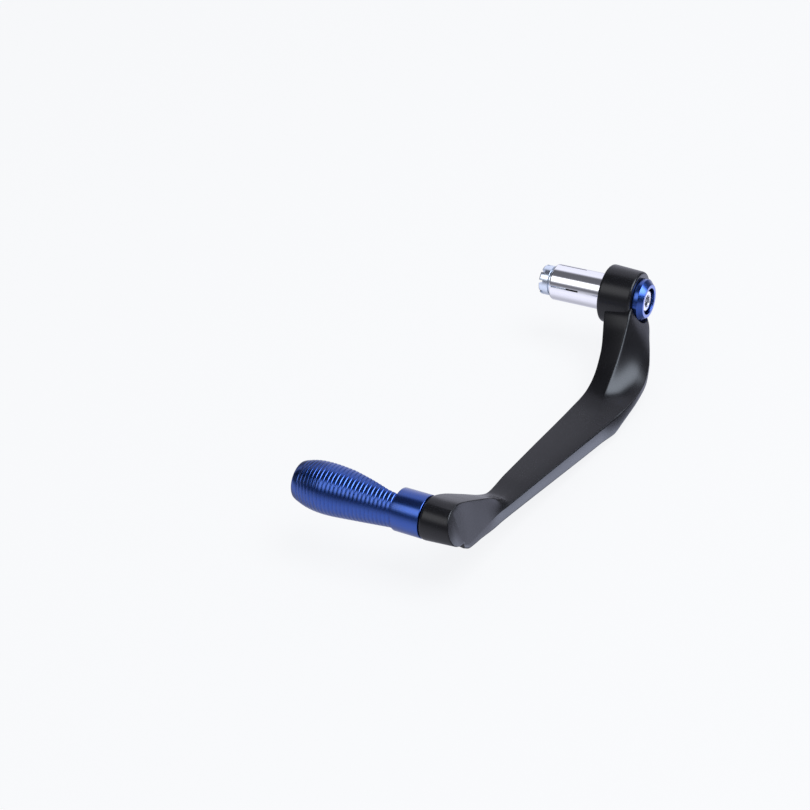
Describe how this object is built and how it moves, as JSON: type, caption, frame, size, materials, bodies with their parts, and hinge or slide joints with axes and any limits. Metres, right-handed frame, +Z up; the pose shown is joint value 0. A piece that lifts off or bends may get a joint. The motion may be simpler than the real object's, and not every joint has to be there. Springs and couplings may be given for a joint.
{
  "type": "brake lever guard",
  "caption": "Guard for a motorcycle brake lever: an expander plug for the bar end, a dropped and cranked metal arm with a capped boss, and a ribbed half-shell tip in front of the lever.",
  "frame": {"origin": "on the axis of the bar end plug, in the boss's inner face, where the end of the handlebar tube comes to rest", "axes": "+X outwards along the plug, away from the handlebar; +Y from the guarded lever back to the bar, so the arm runs towards -Y; +Z up, the side that the arm's broad face looks to"},
  "size_m": [0.1001, 0.1982, 0.0485],
  "materials": {
    "black_arm": "satin black anodised",
    "blue_metal": "blue anodised, turned",
    "black_screw": "black oxide",
    "plain_steel": "plated",
    "bright_sleeve": "bright turned",
    "zinc_nut": "blue-white zinc"
  },
  "bodies": {
    "root": {"guard_arm": "black_arm", "end_tip": "blue_metal", "tip_screw": "black_screw", "spring_washer": "plain_steel", "bar_end_cap": "blue_metal", "clamp_bolt": "plain_steel", "bolt_washer": "plain_steel", "expander_sleeve": "bright_sleeve", "cone_nut": "zinc_nut"}
  },
  "joints": []
}
